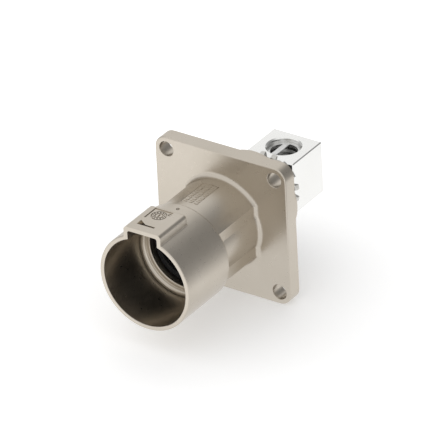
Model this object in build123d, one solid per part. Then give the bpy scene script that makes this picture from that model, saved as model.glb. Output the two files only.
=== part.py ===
from build123d import *
import os
from math import sin, cos, radians, pi

os.makedirs("parts", exist_ok=True)

# ---------------------------------------------------------------------------
# Panel header for a single high-current circuit, busbar termination.
# Frame: the connector's axis is the Y axis. Mating mouth towards -Y, busbar
# block towards +Y, polarising key up (+Z). Origin at the centre of the
# flange's rear (mounting) face. Millimetres.
# ---------------------------------------------------------------------------

# flange
FLANGE_SIDE = 50.0          # square side
FLANGE_T = 5.2              # thickness, from y = -FLANGE_T to y = 0
FLANGE_CORNER_R = 4.4
HOLE_PITCH = 41.3           # between mounting hole centres, X and Z
HOLE_R = 2.65               # clearance hole for M5
SEAL_R_IN, SEAL_R_OUT, SEAL_DEPTH = 17.0, 19.6, 1.9

# shroud (mating mouth)
Y_MOUTH = -50.2
Y_STEP = -26.95             # rear end of the shroud, where the barrel begins
SHROUD_R = 17.0
SOCKET_R = 15.5             # inner radius of the mouth
Y_SOCKET_END = -31.0        # end of the straight wall
# shoulder at the bottom of the mouth: wide rounded corner, flat ring, shallow edge, flat ring, rounded lip
LIP_R, Y_LIP = 12.5, -27.5
SHOULDER = [(15.45, -30.45), (15.32, -29.97), (15.08, -29.52), (14.75, -29.16), (14.35, -28.93), (14.02, -28.84),
            (13.90, -28.70), (13.82, -28.66), (12.85, -28.66), (12.68, -28.58), (12.56, -28.45), (LIP_R, -28.25),
            (LIP_R, Y_LIP)]
THROAT_R = 12.6             # behind the lip

# polarising key, a channel on top of the shroud
KEY_HALF, KEY_TOP = 7.0, 19.14
KEY_IN_HALF, KEY_IN_TOP = 5.6, 17.75
Y_KEY_END = -34.8
Y_KEY_IN_END = -36.2
FIELD_X = (-4.35, 2.6)      # shallow field on top of the key
FIELD_Y = (-42.4, -35.8)
FIELD_DEPTH = 0.27
# latch window through the key's roof: a slit that widens to a wedge on the left
WINDOW = [(-4.05, -46.95), (2.5, -46.95), (2.5, -46.2), (-1.2, -46.2), (-4.05, -44.3)]

# barrel between shroud and flange
BARREL_R = 15.75
CORE_R = 13.92
FLAT_X = 12.8
BASE_FILLET = 1.65

# rear boss behind the flange
BOSS_R = 15.85
BOSS_END = 14.8
POCKET_R = 14.1             # pocket for the insulators
Y_POCKET = -4.0
CLIP_Y0, CLIP_Y1, CLIP_R = 9.05, 10.25, 14.85

# contact pin
PIN_R = 6.0
PIN_TIP = -23.0
SEAT_R, Y_SEAT = 7.6, -6.6  # wider seat of the pin in the front insulator
COLLAR_R = 9.4
STUD_R = 4.0

# terminal block
BLOCK = 18.4                # square section
BLOCK_Y0, BLOCK_Y1 = 22.3, 39.35
SHANK_R = 7.5
BOLT_Y = 31.05              # axis of the vertical busbar bore
BORE_R = 5.6
INSERT_R_IN = 4.25          # minor radius of an M10 thread

# ---------------------------------------------------------------------------
# helpers
# ---------------------------------------------------------------------------


def turn(pts):
    """Solid of revolution about the Y axis from (radius, y) points."""
    with BuildPart() as p:
        with BuildSketch(Plane.XY):
            with BuildLine():
                Polyline(*pts, close=True)
            make_face()
        revolve(axis=Axis.Y)
    return p.part


def tube(r_out, r_in, y0, y1):
    return turn([(r_in, y0), (r_out, y0), (r_out, y1), (r_in, y1)])


def rod(r, y0, y1):
    return turn([(0, y0), (r, y0), (r, y1), (0, y1)])


def block(x0, x1, y0, y1, z0, z1):
    return Pos((x0 + x1) / 2, (y0 + y1) / 2, (z0 + z1) / 2) * Box(x1 - x0, y1 - y0, z1 - z0)


def vrod(r, x, y, z0, z1):
    """Vertical cylinder."""
    return Pos(x, y, (z0 + z1) / 2) * Cylinder(r, z1 - z0)


def save(shape, name):
    solids = shape.solids()
    shp = solids[0] if len(solids) == 1 else Compound(children=list(solids))
    shp.label = name
    export_step(shp, f"parts/{name}.step")
    print(name, len(solids), "solid(s)", round(sum(s.volume for s in solids), 1), "mm3")
    return shp


def try_fillet(shape, edges, r, what):
    try:
        out = fillet(edges, r)
        if out.solids() and abs(out.volume - shape.volume) < 0.2 * shape.volume:
            return out
    except Exception as e:
        print("fillet left out:", what, type(e).__name__)
    return shape


# ---------------------------------------------------------------------------
# housing: one die casting, nickel plated
# ---------------------------------------------------------------------------

# flange plate with rounded corners
plate = block(-FLANGE_SIDE / 2, FLANGE_SIDE / 2, -FLANGE_T, 0, -FLANGE_SIDE / 2, FLANGE_SIDE / 2)
plate = fillet(plate.edges().filter_by(Axis.Y), FLANGE_CORNER_R)
front_outline = plate.faces().sort_by(Axis.Y)[0].edges()
plate = fillet(front_outline, 0.45)
rear_outline = plate.faces().sort_by(Axis.Y)[-1].edges()
plate = chamfer(rear_outline, 0.25)

# barrel: round core with a thicker shell that is cut flat left and right
shell = rod(BARREL_R, Y_STEP - 1, -FLANGE_T + 0.5)
shell = shell & block(-FLAT_X, FLAT_X, Y_STEP - 2, 0, -20, 20)
core = rod(CORE_R, Y_STEP - 1, -FLANGE_T + 0.5)
barrel = shell + core
body = plate + barrel
foot = [e for e in body.edges() if abs(e.center().Y + FLANGE_T) < 0.02
        and (e.center().X ** 2 + e.center().Z ** 2) ** 0.5 < 17.5
        and abs(e.bounding_box().max.Y - e.bounding_box().min.Y) < 0.02]
body = try_fillet(body, foot, BASE_FILLET, "foot of the barrel")

# shroud
shroud = rod(SHROUD_R, Y_MOUTH, Y_STEP)
shroud = fillet(shroud.edges().sort_by(Axis.Y)[-1], 0.5)
shroud = fillet(shroud.edges().sort_by(Axis.Y)[0], 0.4)

# key box on the shroud
key = block(-KEY_HALF, KEY_HALF, Y_MOUTH, Y_KEY_END, 9.0, KEY_TOP)
key = fillet(key.edges().filter_by(Axis.Y).group_by(Axis.Z)[-1], 1.2)
key = fillet(key.faces().sort_by(Axis.Y)[-1].edges().filter_by(lambda e: e.center().Z > 10), 0.7)
head = shroud + key
foot_key = [e for e in head.edges() if e.center().Z > 14 and e.center().Y > Y_MOUTH + 0.5
            and e.center().Y < Y_KEY_END + 0.5
            and abs((e.center().X ** 2 + e.center().Z ** 2) ** 0.5 - SHROUD_R) < 0.25
            and abs(e.center().X) < KEY_HALF + 0.3]
head = try_fillet(head, foot_key, 0.45, "foot of the key")
body = body + head

# rear boss
boss = rod(BOSS_R, -0.5, BOSS_END)
boss = chamfer(boss.edges().sort_by(Axis.Y)[-1], 0.6)
body = body + boss

# bore from the mouth to the pocket
bore = turn([(0, Y_MOUTH - 1), (SOCKET_R, Y_MOUTH - 1), (SOCKET_R, Y_SOCKET_END)] + SHOULDER +
            [(THROAT_R, Y_LIP), (THROAT_R, Y_POCKET), (POCKET_R, Y_POCKET),
             (POCKET_R, BOSS_END - 0.6), (POCKET_R + 0.5, BOSS_END + 0.1), (0, BOSS_END + 0.1)])
body = body - bore
body = body - tube(CLIP_R, POCKET_R - 0.5, CLIP_Y0, CLIP_Y1)
body = body - block(-1.6, 1.6, Y_POCKET, 2.05, -14.95, -13.0)      # slot that stops the insulator turning
# key channel, open to the mouth and to the bore below it
chan = block(-KEY_IN_HALF, KEY_IN_HALF, Y_MOUTH - 1, Y_KEY_IN_END, 8.0, KEY_IN_TOP)
chan = fillet(chan.edges().filter_by(Axis.Y).group_by(Axis.Z)[-1], 0.8)
body = body - chan

# groove for the panel seal
body = body - tube(SEAL_R_OUT, SEAL_R_IN, -SEAL_DEPTH, 0.5)

# mounting holes
for sx in (-1, 1):
    for sz in (-1, 1):
        hole = Pos(sx * HOLE_PITCH / 2, -FLANGE_T / 2, sz * HOLE_PITCH / 2) * (Rot(90, 0, 0) * Cylinder(HOLE_R, FLANGE_T + 2))
        body = body - hole
        cone = Pos(sx * HOLE_PITCH / 2, 0, sz * HOLE_PITCH / 2) * turn(
            [(0, -FLANGE_T - 0.1), (HOLE_R + 0.2, -FLANGE_T - 0.1), (HOLE_R - 0.1, -FLANGE_T + 0.2), (0, -FLANGE_T + 0.2)])
        body = body - cone

# shallow field and latch window on top of the key
field = block(FIELD_X[0], FIELD_X[1], FIELD_Y[0], FIELD_Y[1], KEY_TOP - FIELD_DEPTH, KEY_TOP + 1)
with BuildPart() as slit:
    with BuildSketch(Plane.XY.offset(KEY_IN_TOP - 0.6)):
        with BuildLine():
            Polyline(*WINDOW, close=True)
        make_face()
    extrude(amount=KEY_TOP - KEY_IN_TOP + 1.6)
body = body - field - slit.part

# date dial: two fine rings with twelve pips between them and a pointer bar
DIAL_X, DIAL_Y, DIAL_Z = -0.85, -39.05, KEY_TOP - FIELD_DEPTH
for r in (2.5, 1.3):
    ring = vrod(r + 0.17, DIAL_X, DIAL_Y, DIAL_Z - 0.42, DIAL_Z + 0.5) - vrod(r - 0.17, DIAL_X, DIAL_Y, DIAL_Z - 0.5, DIAL_Z + 0.6)
    body = body - ring
for i in range(12):
    a = radians(30 * i + 15)
    body = body - vrod(0.27, DIAL_X + 1.9 * cos(a), DIAL_Y + 1.9 * sin(a), DIAL_Z - 0.4, DIAL_Z + 0.5)
body = body - block(DIAL_X - 0.26, DIAL_X + 0.26, DIAL_Y - 0.75, DIAL_Y + 0.8, DIAL_Z - 0.42, DIAL_Z + 0.5)
# gate marks: two short arcs behind the dial and one dimple on the shroud
for (gx, gy, gz) in ((2.05, -37.1, KEY_TOP - FIELD_DEPTH), (0.2, -30.0, SHROUD_R - 0.03)):
    body = body - (vrod(0.62, gx, gy, gz - 0.35, gz + 0.6) - vrod(0.28, gx, gy, gz - 0.5, gz + 0.8))

# casting field on top of the barrel: a sunk rectangle with three rows of raised pips and bars
F_X0, F_X1, F_Y0, F_Y1 = -3.5, 2.7, -23.0, -10.1
PANEL_Z = 15.25
panel = block(F_X0, F_X1, F_Y0, F_Y1, PANEL_Z, 20)
marks = None
for row, x in enumerate((-2.45, -0.4, 1.65)):
    y = F_Y0 + 0.8
    k = 0
    while y < F_Y1 - 1.2:
        length = (0.5, 1.2, 0.5, 0.5, 0.85, 0.5)[(k + 2 * row) % 6]
        m = block(x - 0.6, x + 0.6, y, y + length, PANEL_Z - 0.3, PANEL_Z + 0.15)
        marks = m if marks is None else marks + m
        y += length + 0.55
        k += 1
body = body - panel + marks

# rim of the mouth slightly rounded inside
rim = [e for e in body.edges().filter_by(GeomType.CIRCLE) if abs(e.center().Y - Y_MOUTH) < 0.02
       and abs(e.radius - SOCKET_R) < 0.02]
body = try_fillet(body, rim, 0.25, "rim")

housing = save(body, "housing")

# ---------------------------------------------------------------------------
# insulators, moulded, black
# ---------------------------------------------------------------------------

FI_FRONT = -26.2
CAVITY_R = 10.7             # clear space round the pin
front = turn([(CAVITY_R, FI_FRONT + 0.3), (CAVITY_R + 0.3, FI_FRONT), (12.1, FI_FRONT), (12.45, FI_FRONT + 0.35), (12.45, Y_POCKET),
              (13.95, Y_POCKET), (13.95, -2.5), (12.3, -2.5), (12.3, -0.3), (13.95, -0.3), (13.95, 2.0),
              (SEAT_R + 0.1, 2.0), (SEAT_R + 0.1, -6.0), (CAVITY_R, -6.0)])
front = front + (block(-1.45, 1.45, -0.3, 2.0, -14.75, -13.2))
save(front, "front_insulator")

rear = turn([(COLLAR_R + 0.1, 2.0), (13.95, 2.0), (13.95, 9.0), (10.6, 9.0), (10.6, 20.4), (10.2, 20.8),
             (SHANK_R + 0.1, 20.8), (SHANK_R + 0.1, 5.05), (COLLAR_R + 0.1, 5.05)])
save(rear, "rear_insulator")

# ---------------------------------------------------------------------------
# contact pin with its touch guard, terminal block, lock washer
# ---------------------------------------------------------------------------

pin = turn([(2.3, PIN_TIP), (PIN_R - 0.4, PIN_TIP), (PIN_R, PIN_TIP + 0.4), (PIN_R, Y_SEAT), (SEAT_R - 0.15, Y_SEAT),
            (SEAT_R, Y_SEAT + 0.15), (SEAT_R, -4.6), (6.45, -4.6), (6.45, -2.6),
            (SEAT_R, -2.6), (SEAT_R, 2.0), (COLLAR_R, 2.0), (COLLAR_R, 5.0), (STUD_R, 5.0), (STUD_R, 11.6),
            (STUD_R - 0.5, 12.1), (0, 12.1), (0, -17.0), (2.3, -17.0)])
save(pin, "contact_pin")

cap = turn([(0, -25.6), (4.4, -25.6), (5.2, -25.2), (PIN_R - 0.45, -24.4), (PIN_R - 0.45, PIN_TIP), (2.2, PIN_TIP),
            (2.2, -17.4), (1.8, -17.05), (0, -17.05)])
save(cap, "pin_guard_cap")

h = BLOCK / 2
sq = block(-h, h, BLOCK_Y0, BLOCK_Y1, -h, h)
sq = chamfer(sq.edges(), 0.3)
shank = turn([(STUD_R, 5.0), (SHANK_R - 0.3, 5.0), (SHANK_R, 5.3), (SHANK_R, BLOCK_Y0 + 1), (0, BLOCK_Y0 + 1),
              (0, 13.6), (STUD_R, 12.3)])
term = sq + shank
term = term - vrod(BORE_R, 0, BOLT_Y, -20, 20)
for s in (-1, 1):
    c = Pos(0, BOLT_Y, s * h) * (Rot(0 if s > 0 else 180, 0, 0) * Pos(0, 0, -0.2) * Cone(BORE_R, BORE_R + 0.45, 0.45))
    term = term - c
save(term, "terminal_block")

# external tooth lock washer between the rear insulator and the block
W0, W1 = 20.8, 22.3
TEETH, TIP_R, ROOT_R = 16, 11.4, 9.3
with BuildPart() as wash:
    with BuildSketch(Plane.XZ):
        Circle(ROOT_R)
        for i in range(TEETH):
            a = 9 + 22.5 * i
            with Locations(Rot(0, 0, a) * Pos((ROOT_R - 0.6 + TIP_R) / 2, 0)):
                Rectangle(TIP_R - ROOT_R + 0.6, 1.7)
        Circle(SHANK_R + 0.12, mode=Mode.SUBTRACT)
    extrude(amount=-(W1 - W0))
washer = wash.part
bb = washer.bounding_box()
washer = Pos(0, W0 - bb.min.Y, 0) * washer
# the tips are bevelled on the side of the insulator
washer = washer & turn([(0, W0 - 0.1), (TIP_R - 0.8, W0 - 0.1), (TIP_R - 0.7, W0), (TIP_R, W0 + 0.7), (TIP_R, W1 + 0.1), (0, W1 + 0.1)])
save(washer, "tooth_lock_washer")

# ---------------------------------------------------------------------------
# thread insert in the vertical bore, with its driving tang across the top
# ---------------------------------------------------------------------------

IZ0, IZ1, TANG_Z = -8.3, 7.6, 6.4
TANG_X = (-2.75, -0.65)
insert = vrod(BORE_R, 0, BOLT_Y, IZ0, IZ1) - vrod(INSERT_R_IN, 0, BOLT_Y, IZ0 - 1, IZ1 + 1)
insert = insert - vrod(INSERT_R_IN + 0.2, 0, BOLT_Y, TANG_Z, IZ1 + 1)     # flat end ring
tang = block(TANG_X[0], TANG_X[1], BOLT_Y - 4.6, BOLT_Y + 4.6, TANG_Z, IZ1) & vrod(BORE_R - 0.3, 0, BOLT_Y, TANG_Z - 1, IZ1 + 1)
save(insert + tang, "thread_insert")

# ---------------------------------------------------------------------------
# seals and retaining ring
# ---------------------------------------------------------------------------


def oring(r_mid, y_mid, half_r, half_y, c=0.3):
    """Compressed ring seal: a rounded rectangle section."""
    r0, r1, y0, y1 = r_mid - half_r, r_mid + half_r, y_mid - half_y, y_mid + half_y
    return turn([(r0 + c, y0), (r1 - c, y0), (r1, y0 + c), (r1, y1 - c), (r1 - c, y1), (r0 + c, y1), (r0, y1 - c), (r0, y0 + c)])


save(oring((SEAL_R_IN + SEAL_R_OUT) / 2, -SEAL_DEPTH / 2, 1.1, SEAL_DEPTH / 2, 0.5), "flange_seal")
save(oring((12.3 + POCKET_R) / 2, -1.4, (POCKET_R - 12.3) / 2, 0.95, 0.35), "insulator_seal")
save(oring((6.45 + SEAT_R + 0.1) / 2, -3.6, (SEAT_R + 0.1 - 6.45) / 2, 0.85, 0.3), "pin_seal")

# internal retaining ring in the boss, with a gap and two eyes
clip = tube(CLIP_R - 0.05, 12.7, CLIP_Y0 + 0.05, CLIP_Y1 - 0.05)
clip = clip - block(-2.6, 2.6, 8, 11, -16, 0)
for s in (-1, 1):
    a = radians(-90 + s * 16)
    ear = Pos(12.3 * cos(a), (CLIP_Y0 + CLIP_Y1) / 2, 12.3 * sin(a)) * (Rot(90, 0, 0) * Cylinder(1.45, CLIP_Y1 - CLIP_Y0 - 0.1))
    eye = Pos(12.3 * cos(a), (CLIP_Y0 + CLIP_Y1) / 2, 12.3 * sin(a)) * (Rot(90, 0, 0) * Cylinder(0.7, 3))
    clip = clip + ear - eye
save(clip, "retaining_ring")
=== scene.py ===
import math

import bmesh
import bpy
from mathutils import Matrix, Vector


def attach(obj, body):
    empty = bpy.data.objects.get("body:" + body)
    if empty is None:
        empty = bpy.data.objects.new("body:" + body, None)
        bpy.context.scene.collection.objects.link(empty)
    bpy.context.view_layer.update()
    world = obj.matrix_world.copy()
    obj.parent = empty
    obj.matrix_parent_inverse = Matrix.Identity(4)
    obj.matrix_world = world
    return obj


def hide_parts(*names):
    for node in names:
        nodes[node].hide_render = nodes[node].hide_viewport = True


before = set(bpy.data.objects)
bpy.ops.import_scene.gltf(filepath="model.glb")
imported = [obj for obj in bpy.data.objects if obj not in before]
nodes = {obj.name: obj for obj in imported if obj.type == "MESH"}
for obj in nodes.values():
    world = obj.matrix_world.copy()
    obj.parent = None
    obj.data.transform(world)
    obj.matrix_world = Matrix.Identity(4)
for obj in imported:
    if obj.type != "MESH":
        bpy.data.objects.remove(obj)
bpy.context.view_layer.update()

# ---------------------------------------------------------------------------
# camera: azimuth, elevation and roll in degrees, distance in metres
# ---------------------------------------------------------------------------

UNIT = 0.025                       # half the flange's width
AZ, EL, ROLL = 35.077, 30.299, -2.988
DIST = 132.09                      # in UNIT
SCALE = 78.112                     # pixels for each UNIT at the flange
U0, V0 = 222.88, 220.48            # image of the middle of the flange's front face
AIM = Vector((0, -0.0052, 0))


def make_camera():
    a, e, r = (math.radians(v) for v in (AZ, EL, ROLL))
    back = Vector((math.sin(a) * math.cos(e), -math.cos(a) * math.cos(e), math.sin(e)))
    right = Vector((math.cos(a), math.sin(a), 0))
    up = back.cross(right)
    c, s = math.cos(r), math.sin(r)
    right2 = c * right + s * up
    up2 = -s * right + c * up
    f = SCALE * DIST
    xc, yc = (U0 - 222.0) / f * DIST, -(V0 - 222.0) / f * DIST
    place = (back * DIST - right2 * xc - up2 * yc) * UNIT + AIM
    data = bpy.data.cameras.new("camera")
    data.sensor_width = 36.0
    data.lens = f * 36.0 / 444.0
    data.clip_start, data.clip_end = 0.1, 30.0
    cam = bpy.data.objects.new("camera", data)
    m = Matrix((right2, up2, back)).transposed().to_4x4()
    m.translation = place
    cam.matrix_world = m
    bpy.context.scene.collection.objects.link(cam)
    bpy.context.scene.camera = cam


make_camera()

# ---------------------------------------------------------------------------
# materials
# ---------------------------------------------------------------------------


class Mat:
    """A node material around one Principled shader."""

    def __init__(self, name, color, metallic, roughness):
        self.m = bpy.data.materials.new(name)
        self.m.use_nodes = True
        self.t = self.m.node_tree
        self.t.nodes.clear()
        self.out = self.t.nodes.new("ShaderNodeOutputMaterial")
        self.p = self.t.nodes.new("ShaderNodeBsdfPrincipled")
        self.t.links.new(self.p.outputs[0], self.out.inputs[0])
        self.p.inputs["Base Color"].default_value = (*color, 1)
        self.p.inputs["Metallic"].default_value = metallic
        self.p.inputs["Roughness"].default_value = roughness
        self.co = self.t.nodes.new("ShaderNodeTexCoord")
        self.normal = None

    def link(self, a, b):
        self.t.links.new(a, b)

    def mapped(self, scale=(1, 1, 1), rotate=(0, 0, 0)):
        n = self.t.nodes.new("ShaderNodeMapping")
        n.inputs["Scale"].default_value = scale
        n.inputs["Rotation"].default_value = rotate
        self.link(self.co.outputs["Object"], n.inputs["Vector"])
        return n.outputs[0]

    def noise(self, scale, detail=3.0, rough=0.5, vector=None, distortion=0.0):
        n = self.t.nodes.new("ShaderNodeTexNoise")
        n.inputs["Scale"].default_value = scale
        n.inputs["Detail"].default_value = detail
        n.inputs["Roughness"].default_value = rough
        n.inputs["Distortion"].default_value = distortion
        self.link(vector or self.co.outputs["Object"], n.inputs["Vector"])
        return n.outputs["Fac"]

    def ramp(self, value, stops):
        n = self.t.nodes.new("ShaderNodeValToRGB")
        e = n.color_ramp.elements
        while len(e) < len(stops):
            e.new(0.5)
        for k, (pos, col) in enumerate(stops):
            e[k].position = pos
            e[k].color = (*col, 1) if hasattr(col, "__len__") else (col, col, col, 1)
        self.link(value, n.inputs[0])
        return n.outputs[0]

    def span(self, value, lo, hi, a=0.0, b=1.0):
        n = self.t.nodes.new("ShaderNodeMapRange")
        n.inputs["From Min"].default_value = lo
        n.inputs["From Max"].default_value = hi
        n.inputs["To Min"].default_value = a
        n.inputs["To Max"].default_value = b
        self.link(value, n.inputs["Value"])
        return n.outputs[0]

    def bump(self, height, strength, distance):
        n = self.t.nodes.new("ShaderNodeBump")
        n.inputs["Strength"].default_value = strength
        n.inputs["Distance"].default_value = distance
        self.link(height, n.inputs["Height"])
        if self.normal is not None:
            self.link(self.normal, n.inputs["Normal"])
        self.normal = n.outputs[0]
        self.link(self.normal, self.p.inputs["Normal"])

    def color(self, out):
        self.link(out, self.p.inputs["Base Color"])

    def rough(self, out):
        self.link(out, self.p.inputs["Roughness"])


def nickel():
    k = Mat("nickel_casting", (0.552, 0.503, 0.434), 1.0, 0.29)
    k.p.inputs["Specular Tint"].default_value = (0.88, 0.87, 0.86, 1)
    broad = k.noise(60, 3, 0.55)
    k.color(k.ramp(broad, [(0.30, (0.536, 0.488, 0.418)), (0.55, (0.552, 0.503, 0.434)), (0.75, (0.568, 0.520, 0.452))]))
    fine = k.noise(900, 4, 0.6)
    k.rough(k.span(fine, 0.3, 0.7, 0.27, 0.32))
    k.bump(k.noise(1100, 2, 0.5), 0.10, 0.00001)
    k.bump(k.noise(240, 2, 0.5), 0.10, 0.00003)
    return k.m


def silver():
    k = Mat("silver_plate", (0.862, 0.860, 0.84), 1.0, 0.16)
    k.color(k.ramp(k.noise(90, 3, 0.6), [(0.3, (0.852, 0.850, 0.828)), (0.7, (0.874, 0.872, 0.856))]))
    lines = k.noise(420, 4, 0.6, k.mapped((1, 18, 1)))
    k.rough(k.span(lines, 0.3, 0.7, 0.13, 0.20))
    k.bump(lines, 0.12, 0.00001)
    return k.m


def plastic():
    k = Mat("black_insulator", (0.016, 0.016, 0.017), 0.0, 0.62)
    k.p.inputs["Specular IOR Level"].default_value = 0.30
    k.color(k.ramp(k.noise(300, 3, 0.5), [(0.3, (0.012, 0.012, 0.013)), (0.7, (0.020, 0.020, 0.021))]))
    k.rough(k.span(k.noise(1500, 3, 0.6), 0.3, 0.7, 0.56, 0.68))
    k.bump(k.noise(2200, 3, 0.6), 0.35, 0.00003)
    return k.m


def spring():
    k = Mat("spring_steel", (0.60, 0.59, 0.56), 1.0, 0.30)
    k.color(k.ramp(k.noise(500, 4, 0.6), [(0.3, (0.55, 0.54, 0.51)), (0.7, (0.64, 0.63, 0.60))]))
    k.rough(k.span(k.noise(1200, 3, 0.6), 0.3, 0.7, 0.26, 0.40))
    k.bump(k.noise(1800, 3, 0.6), 0.3, 0.00002)
    return k.m


def wire():
    k = Mat("stainless_wire", (0.66, 0.66, 0.655), 1.0, 0.24)
    k.color(k.ramp(k.noise(700, 3, 0.5), [(0.3, (0.60, 0.60, 0.595)), (0.7, (0.72, 0.72, 0.715))]))
    k.rough(k.span(k.noise(900, 3, 0.6, k.mapped((1, 1, 9))), 0.3, 0.7, 0.18, 0.30))
    k.bump(k.noise(1500, 3, 0.6, k.mapped((1, 1, 9))), 0.15, 0.00001)
    return k.m


def shaded_coil_wire():
    # painted shade: a darker copy of the stainless wire, for the coil that sits in shade deep in the bore
    k = Mat("stainless_coil_painted_shade", (0.42, 0.42, 0.41), 1.0, 0.30)
    k.color(k.ramp(k.noise(700, 3, 0.5), [(0.3, (0.36, 0.36, 0.35)), (0.7, (0.46, 0.46, 0.45))]))
    k.rough(k.span(k.noise(900, 3, 0.6, k.mapped((1, 1, 9))), 0.3, 0.7, 0.24, 0.36))
    k.bump(k.noise(1500, 3, 0.6, k.mapped((1, 1, 9))), 0.15, 0.00001)
    return k.m


def rubber():
    k = Mat("seal_rubber", (0.04, 0.04, 0.04), 0.0, 0.6)
    k.color(k.ramp(k.noise(400, 3, 0.5), [(0.3, (0.032, 0.032, 0.032)), (0.7, (0.05, 0.05, 0.05))]))
    k.rough(k.span(k.noise(1100, 3, 0.6), 0.3, 0.7, 0.55, 0.70))
    k.bump(k.noise(1600, 3, 0.6), 0.3, 0.00003)
    return k.m


NICKEL, SILVER, PLASTIC, SPRING, WIRE, RUBBER = nickel(), silver(), plastic(), spring(), wire(), rubber()
SHADED_COIL_WIRE = shaded_coil_wire()

DRESS = {
    "housing": NICKEL,
    "front_insulator": PLASTIC, "rear_insulator": PLASTIC, "pin_guard_cap": PLASTIC,
    "contact_pin": SILVER, "terminal_block": SILVER,
    "tooth_lock_washer": SPRING, "retaining_ring": SPRING,
    "thread_insert": WIRE,
    "flange_seal": RUBBER, "insulator_seal": RUBBER, "pin_seal": RUBBER,
}
for name, material in DRESS.items():
    o = nodes[name]
    o.data.materials.clear()
    o.data.materials.append(material)

# ---------------------------------------------------------------------------
# thread insert: a coil of diamond-section wire with its driving tang
# ---------------------------------------------------------------------------


def make_coil():
    bore_y = 0.03105
    pitch, z0, z1 = 0.0015, -0.0083, 0.0064
    r_in, r_out = 0.00425, 0.00558
    r_mid = (r_in + r_out) / 2
    half = pitch * 0.47
    start = z0 + half
    turns = (z1 - half - start) / pitch
    steps = int(turns * 64)
    bm = bmesh.new()
    rings = []
    for i in range(steps + 1):
        a = math.radians(90) + 2 * math.pi * turns * (i / steps)   # right-handed
        z = start + pitch * turns * (i / steps)
        # the section is a diamond with blunt points, drawn in at both ends
        ring = []
        for r, dz in ((r_in, -0.06), (r_in, 0.06), (r_mid, 0.47), (r_out, 0.10), (r_out, -0.10), (r_mid, -0.47)):
            ring.append(bm.verts.new((r * math.cos(a), bore_y + r * math.sin(a), z + dz * pitch)))
        rings.append(ring)
    n = len(rings[0])
    for p, q in zip(rings, rings[1:]):
        for k in range(n):
            bm.faces.new((p[k], p[(k + 1) % n], q[(k + 1) % n], q[k]))
    bm.faces.new(rings[0][::-1])
    bm.faces.new(rings[-1])
    bmesh.ops.recalc_face_normals(bm, faces=bm.faces)
    me = bpy.data.meshes.new("insert_coil")
    bm.to_mesh(me)
    bm.free()
    o = bpy.data.objects.new("insert_coil", me)
    bpy.context.scene.collection.objects.link(o)
    o.data.materials.append(SHADED_COIL_WIRE)
    bev = o.modifiers.new("edges", "BEVEL")
    bev.width, bev.segments, bev.limit_method = 0.00004, 2, "ANGLE"
    return o


def make_tang():
    """The coil's flat end ring and the driving tang across it, in one piece."""
    bore_y = 0.03105
    z_top, z_low, ch = 0.0076, 0.0064, 0.00012
    r_in, r_out = 0.00445, 0.00558
    bm = bmesh.new()
    n = 96
    section = [(r_in, z_low), (r_in, z_top - ch), (r_in + ch, z_top), (r_out - ch, z_top), (r_out, z_top - ch), (r_out, z_low)]
    rings = []
    for i in range(n):
        a = 2 * math.pi * i / n
        rings.append([bm.verts.new((r * math.cos(a), bore_y + r * math.sin(a), z)) for r, z in section])
    m = len(section)
    for i in range(n):
        p, q = rings[i], rings[(i + 1) % n]
        for k in range(m):
            bm.faces.new((p[k], p[(k + 1) % m], q[(k + 1) % m], q[k]))
    # the tang, a flat bar with broken edges whose ends run into the ring
    x0, x1 = -0.00275, -0.00065
    for_y = []
    for x in (x0, x0 + ch, x1 - ch, x1):
        for_y.append(math.sqrt((r_in + 0.0003) ** 2 - x * x))
    prof = [(x0, z_low, for_y[0]), (x0, z_top - ch, for_y[0]), (x0 + ch, z_top - 0.00001, for_y[1]),
            (x1 - ch, z_top - 0.00001, for_y[2]), (x1, z_top - ch, for_y[3]), (x1, z_low, for_y[3])]
    cuts = 10
    bars = []
    for j in range(cuts + 1):
        f = -1 + 2 * j / cuts
        sag = 0.00012 * (1 - f * f)
        bars.append([bm.verts.new((x, bore_y + f * half, z - sag)) for x, z, half in prof])
    for p, q in zip(bars, bars[1:]):
        for k in range(m):
            bm.faces.new((p[k], p[(k + 1) % m], q[(k + 1) % m], q[k]))
    bm.faces.new(bars[0][::-1])
    bm.faces.new(bars[-1])
    bmesh.ops.recalc_face_normals(bm, faces=bm.faces)
    me = bpy.data.meshes.new("insert_tang")
    bm.to_mesh(me)
    bm.free()
    o = bpy.data.objects.new("insert_tang", me)
    bpy.context.scene.collection.objects.link(o)
    o.data.materials.append(WIRE)
    return o


coil, tang = make_coil(), make_tang()
for o in (coil, tang):
    for p in o.data.polygons:
        p.use_smooth = False
    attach(o, "root")
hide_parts("thread_insert")

# ---------------------------------------------------------------------------
# floor and light
# ---------------------------------------------------------------------------


def make_floor():
    z, half, n = -0.02502, 3.0, 24
    bm = bmesh.new()
    grid = [[bm.verts.new((-half + 2 * half * i / n, -half + 2 * half * j / n, z)) for j in range(n + 1)] for i in range(n + 1)]
    for i in range(n):
        for j in range(n):
            bm.faces.new((grid[i][j], grid[i + 1][j], grid[i + 1][j + 1], grid[i][j + 1]))
    me = bpy.data.meshes.new("floor")
    bm.to_mesh(me)
    bm.free()
    o = bpy.data.objects.new("floor", me)
    bpy.context.scene.collection.objects.link(o)
    # a pale floor that glows like white acrylic lit from below
    k = Mat("floor_glow_painted_shadow", (0.82, 0.82, 0.82), 0.0, 0.9)
    k.p.inputs["Specular IOR Level"].default_value = 0.0
    k.color(k.ramp(k.noise(8, 2, 0.5), [(0.3, (0.815, 0.815, 0.815)), (0.7, (0.825, 0.825, 0.825))]))
    # painted shadow: the glow is lower under and near the object and rises further out
    off = k.t.nodes.new("ShaderNodeVectorMath")
    off.operation = "DISTANCE"
    off.inputs[1].default_value = (0.008, -0.012, z)
    k.link(k.co.outputs["Object"], off.inputs[0])
    r = k.span(off.outputs["Value"], 0, 0.2)
    k.link(k.ramp(r, [(0.0, 0.27), (0.075, 0.28), (0.175, 0.325), (0.25, 0.365), (0.315, 0.405), (0.445, 0.58), (0.6, 0.68)]),
           k.p.inputs["Emission Color"])
    k.p.inputs["Emission Strength"].default_value = 1.0
    o.data.materials.append(k.m)


make_floor()


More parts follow.
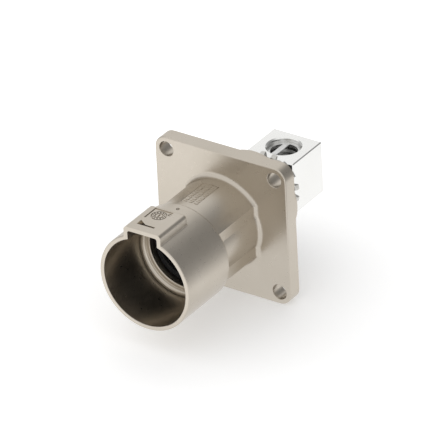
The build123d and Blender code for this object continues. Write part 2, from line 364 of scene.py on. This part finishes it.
def make_card(name, a, b, z0, z1, stops):
    """A graduated studio card standing on the floor from a to b, seen only in reflections: it glows as a painted
    reflection and lights nothing.

    stops: (height, radiance) pairs from the card's foot to its top."""
    a, b = Vector((a[0], a[1], 0)), Vector((b[0], b[1], 0))
    away = Vector((-(b - a).y, (b - a).x, 0)).normalized()
    bm = bmesh.new()
    n, m = 12, 8
    cols = []
    for i in range(n + 1):
        s = i / n
        p = a.lerp(b, s) + away * 0.008 * (1 - (2 * s - 1) ** 2)
        cols.append([bm.verts.new((p.x, p.y, z0 + (z1 - z0) * k / m)) for k in range(m + 1)])
    for p, q in zip(cols, cols[1:]):
        for k in range(m):
            bm.faces.new((p[k], q[k], q[k + 1], p[k + 1]))
    me = bpy.data.meshes.new(name)
    bm.to_mesh(me)
    bm.free()
    o = bpy.data.objects.new(name, me)
    bpy.context.scene.collection.objects.link(o)
    # painted reflection: the card glows by height, from its foot to its top, and shows only in the metal
    k = Mat(name + "_paper", (0.02, 0.02, 0.02), 0.0, 0.9)
    k.p.inputs["Specular IOR Level"].default_value = 0.0
    sep = k.t.nodes.new("ShaderNodeSeparateXYZ")
    k.link(k.co.outputs["Object"], sep.inputs[0])
    level = k.ramp(k.span(sep.outputs["Z"], z0, z1), [((z - z0) / (z1 - z0), v) for z, v in stops])
    k.link(level, k.p.inputs["Emission Color"])
    k.p.inputs["Emission Strength"].default_value = 1.0
    o.data.materials.append(k.m)
    o.visible_camera = o.visible_diffuse = o.visible_transmission = o.visible_shadow = False


make_card("far_card", (0.048, 0.139), (0.202, 0.011), -0.0249, 0.030,
          [(-0.0249, 0.63), (-0.010, 0.48), (0.010, 0.39), (0.030, 0.32)])
make_card("near_card", (0.048, 0.0137), (0.0803, -0.0162), -0.0249, 0.012,
          [(-0.0249, 0.90), (-0.0130, 0.72), (-0.0018, 0.50), (0.009, 0.39), (0.012, 0.37)])


def make_reflection_card_under():
    """A graduated white card under the object, seen only in reflections: it glows as a painted reflection and
    lights nothing.

    Its level runs along one horizontal direction, from the front left to the back right."""
    z, rings, seg, size = -0.0249, 24, 60, 0.8
    bm = bmesh.new()
    mid = bm.verts.new((0, 0, z))
    last = None
    for i in range(1, rings + 1):
        r = size * (i / rings) ** 2
        ring = [bm.verts.new((r * math.cos(2 * math.pi * k / seg), r * math.sin(2 * math.pi * k / seg), z)) for k in range(seg)]
        for k in range(seg):
            if last is None:
                bm.faces.new((mid, ring[k], ring[(k + 1) % seg]))
            else:
                bm.faces.new((last[k], ring[k], ring[(k + 1) % seg], last[(k + 1) % seg]))
        last = ring
    me = bpy.data.meshes.new("under_reflection_card")
    bm.to_mesh(me)
    bm.free()
    o = bpy.data.objects.new("under_reflection_card", me)
    bpy.context.scene.collection.objects.link(o)
    # painted reflection: the card's glow is graded along one direction and shows only in the metal
    k = Mat("bounce_paper", (0.02, 0.02, 0.02), 0.0, 0.9)
    k.p.inputs["Specular IOR Level"].default_value = 0.0
    along = k.t.nodes.new("ShaderNodeVectorMath")
    along.operation = "DOT_PRODUCT"
    along.inputs[1].default_value = (0.574, 0.819, 0)
    k.link(k.co.outputs["Object"], along.inputs[0])
    q0, q1 = -0.30, 0.30
    stops = [(-0.24, 0.92), (-0.15, 1.05), (-0.11, 1.27), (-0.070, 1.27), (-0.056, 1.08), (-0.022, 0.96), (-0.006, 0.92), (0.003, 0.94),
             (0.018, 1.02), (0.055, 1.06), (0.080, 1.06), (0.13, 0.97), (0.20, 0.86), (0.28, 0.80)]
    level = k.ramp(k.span(along.outputs["Value"], q0, q1), [((q - q0) / (q1 - q0), v) for q, v in stops])
    k.link(level, k.p.inputs["Emission Color"])
    k.p.inputs["Emission Strength"].default_value = 1.0
    o.data.materials.append(k.m)
    o.visible_camera = o.visible_diffuse = o.visible_transmission = o.visible_shadow = False


make_reflection_card_under()


def make_world():
    w = bpy.data.worlds.new("studio")
    bpy.context.scene.world = w
    w.use_nodes = True
    t = w.node_tree
    t.nodes.clear()
    out = t.nodes.new("ShaderNodeOutputWorld")
    bg = t.nodes.new("ShaderNodeBackground")
    t.links.new(bg.outputs[0], out.inputs[0])
    co = t.nodes.new("ShaderNodeTexCoord")

    def lobe(direction, inner, outer):
        """1 within inner degrees of a direction, 0 past outer degrees."""
        d = t.nodes.new("ShaderNodeVectorMath")
        d.operation = "DOT_PRODUCT"
        d.inputs[1].default_value = Vector(direction).normalized()
        t.links.new(co.outputs["Generated"], d.inputs[0])
        r = t.nodes.new("ShaderNodeMapRange")
        r.interpolation_type = "SMOOTHSTEP"
        r.inputs["From Min"].default_value = math.cos(math.radians(outer))
        r.inputs["From Max"].default_value = math.cos(math.radians(inner))
        t.links.new(d.outputs["Value"], r.inputs["Value"])
        return r.outputs[0]

    def madd(a, b, c):
        """a * b + c"""
        m = t.nodes.new("ShaderNodeMath")
        m.operation = "MULTIPLY_ADD"
        for k, v in enumerate((a, b, c)):
            if isinstance(v, (int, float)):
                m.inputs[k].default_value = v
            else:
                t.links.new(v, m.inputs[k])
        return m.outputs[0]

    level = madd(lobe((0.591, 0.709, 0.384), 6, 55), -0.675, 0.975)
    level = madd(lobe((-0.95, 0.20, 0.25), 5, 34), -0.45, level)
    level = madd(lobe((0.90, -0.40, 0.20), 5, 30), -0.40, level)
    t.links.new(level, bg.inputs["Strength"])
    bg.inputs["Color"].default_value = (1, 1, 1, 1)


make_world()

scene = bpy.context.scene
scene.view_settings.view_transform = "Standard"
scene.view_settings.look = "None"
